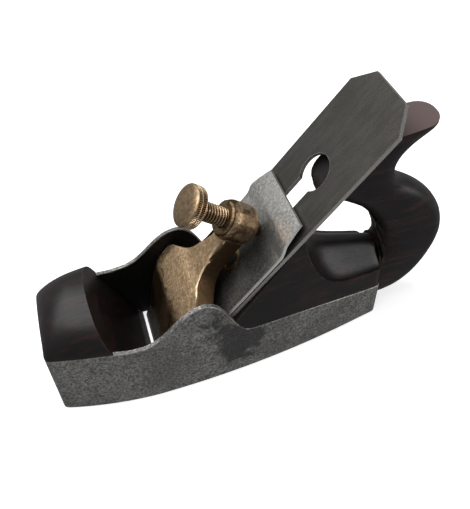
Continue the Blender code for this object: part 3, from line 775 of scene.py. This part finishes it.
deselect_all()
bpy.ops.mesh.primitive_plane_add(size=0.001)
thread = bpy.context.object
thread.name = "thread"
start_editing(thread)
bpy.ops.mesh.merge(type="CENTER")
bpy.ops.transform.translate(value=(ROOT * MM, 0, (THREAD_START - PITCH) * MM))
for out, rise in TOOTH:
    step = (out * MM, 0, rise * PITCH * MM)
    bpy.ops.mesh.extrude_region_move(TRANSFORM_OT_translate={"value": step})
bpy.ops.object.mode_set(mode="OBJECT")
turns = math.ceil((THREAD_END - THREAD_START) / PITCH) + 2
apply_modifier(thread, "SCREW", axis="Z", angle=2 * math.pi, screw_offset=PITCH * MM,
               iterations=turns, steps=TURN_STEPS, render_steps=TURN_STEPS,
               use_merge_vertices=True, merge_threshold=MERGE_GAP / 2)
start_editing(thread)
for height, outward in ((THREAD_START, -1), (THREAD_END, 1)):
    bpy.ops.mesh.select_all(action="SELECT")
    bpy.ops.mesh.bisect(plane_co=(0, 0, height * MM), plane_no=(0, 0, outward), use_fill=True,
                        clear_outer=True)
bpy.ops.mesh.select_all(action="SELECT")
bpy.ops.mesh.normals_make_consistent(inside=False)
bpy.ops.object.mode_set(mode="OBJECT")
print("thread turns:", turns, "open edges:", open_edges(thread))

# %% [markdown]
# ## One screw
# Knob and thread were made upright at the origin, where their sizes are easy to write. On the
# real screw they are one piece of metal, so they are joined, and then the mesh is leaned over
# and moved to the axis that the frame gave. Moving the mesh keeps the object at the origin.

# %% Join the screw and put it in place
deselect_all()
thread.select_set(True)
knob.select_set(True)
bpy.context.view_layer.objects.active = knob
bpy.ops.object.join()
knob.data.transform(screw_place)
smooth(knob, 32)
finish_piece(knob, turned_brass, "brass", "thumb_screw", "lever_cap_screw")

# %% [markdown]
# ## The lever cap
# The lever cap is a brass casting that was filed by hand, so its planes swell a little, its
# ridges are soft and a raised panel on its face keeps the grain of the sand. A sculptor's way
# suits it: the CAD shape is laid flat, remeshed to an even skin, relaxed, and then pushed and
# pulled by rules in millimetres up the bed, across it and off it.

# %% An even skin for the casting
SKIN_SIZE = 0.45 * MM
casting = copy_of("lever_cap", "brass_lever_cap")
to_bed = Matrix((UP_BED, (0, 1, 0), OFF_BED)).to_4x4() @ Matrix.Translation(-EDGE)
casting.data.transform(to_bed)
casting.data.remesh_voxel_size = SKIN_SIZE
casting.data.remesh_voxel_adaptivity = 0
deselect_all()
casting.select_set(True)
bpy.context.view_layer.objects.active = casting
bpy.ops.object.voxel_remesh()
apply_modifier(casting, "SMOOTH", factor=0.5, iterations=4)
print("casting skin:", len(casting.data.polygons), "faces")

# %% [markdown]
# ## The casting's face
# On the real casting a panel is left rough in the middle, the slope in front of it is filed
# down to the lip, both shoulders are filed hollow, and the neck narrows to a ridge below the
# boss. Moving each point by a smooth rule makes these without adding edges. The rules are masks
# from 0 to 1, multiplied together.

# %% Where the face is


def ease_in(value, low, high):
    """0 below low, 1 above high, eased between them."""
    share = np.clip((value - low) / (high - low), 0, 1)
    return share * share * (3 - 2 * share)


points = mesh_points(casting) / MM
up, across, off = points.T
normals = np.empty(len(points) * 3)
casting.data.vertex_normals.foreach_get("vector", normals)
facing_up = ease_in(normals.reshape(-1, 3)[:, 2], 0.30, 0.75)
top_face = facing_up * ease_in(off, 6.5, 9.0) * (1 - ease_in(up, 84, 90))
print("points on the casting's face:", int((top_face > 0.5).sum()))

# %% Filing and casting marks
PANEL_FOOT, PANEL_RAISE = 42.0, 0.9
PANEL_MIDDLE, PANEL_HALF = 3, 18
HOLLOW = 0.020
NECK_FALL = 1.7
SAND_FILED, SAND_CAST = 0.02, 0.05
off_middle = np.abs(across - PANEL_MIDDLE)

# The cast panel stands a little proud of the filed slope below it, with a wandering edge.
wander = 1.1 * np.sin(0.55 * across + 0.8) + 0.5 * np.sin(1.3 * across)
panel_edge = PANEL_FOOT + 0.012 * across**2 + wander
panel = top_face * ease_in(up, panel_edge, panel_edge + 2.2) * (1 - ease_in(up, 60, 70))
panel *= 1 - ease_in(off_middle, PANEL_HALF - 0.5, PANEL_HALF + 4)
off += panel * PANEL_RAISE

# Both shoulders of the panel are filed down in a long hollow towards the casting's ends.
off -= top_face * (1 - ease_in(up, 58, 72)) * HOLLOW * np.clip(off_middle - PANEL_HALF, 0, None) ** 2

# Towards the boss the neck's upper face narrows to a ridge, with a steep flat on each side.
neck = facing_up * ease_in(off, 14, 17) * ease_in(up, 73, 79) * (1 - ease_in(up, 90, 92.5))
ridge_line = np.interp(up, (73, 78, 83, 88), (12, 8.6, 6.2, 4.6))
off -= neck * NECK_FALL * np.clip(np.abs(across) - ridge_line, 0, None)

# The grain of the sand is plain on the panel and faint where the file has been.
sand = np.sin(2.3 * up + 1.1 * across) * np.sin(1.7 * across - 0.9 * up)
sand += np.sin(3.9 * up - 2.7 * across + 1.0)
off += (SAND_FILED + SAND_CAST * panel) * top_face * sand
casting.data.vertices.foreach_set("co", (np.stack([up, across, off], axis=1) * MM).ravel())
print("panel raised", PANEL_RAISE, "mm")

# %% [markdown]
# ## The casting in its place
# The rules leave small steps where two of them meet, as a file would, and a last light
# smoothing takes these off as emery does. The casting was shaped lying flat, so its mesh is
# turned back onto the bed before it takes its brass and rides with the lever cap.

# %% Finish the casting
casting.data.transform(to_bed.inverted())
casting.data.update()
apply_modifier(casting, "SMOOTH", factor=0.5, iterations=3)
smooth(casting, 45)
finish_piece(casting, cast_brass, "brass", "lever", "lever_cap")

# %% [markdown]
# ## Pieces that stay as the CAD made them
# The flat irons, the sole and the small pins are already right, so they only get their finish.
# A CAD node keeps its mesh and its place, and only its material slots change.

# %% Finishes for the plain pieces
PLAIN = {"cutting_iron": iron_steel, "cap_iron_screw": iron_steel, "cap_iron": cap_steel,
         "cap_iron_nut": nut_brass, "screw_tip": turned_brass, "sole_front": plate_steel,
         "sole_rear": plate_steel, "lever_cap_pin": plate_steel, "front_rivet": plate_steel,
         "rear_rivet_front": plate_steel, "rear_rivet_back": plate_steel}
for node, finish in PLAIN.items():
    for material_slot in nodes[node].material_slots:
        material_slot.material = finish.material
print("finished", len(PLAIN), "CAD pieces")
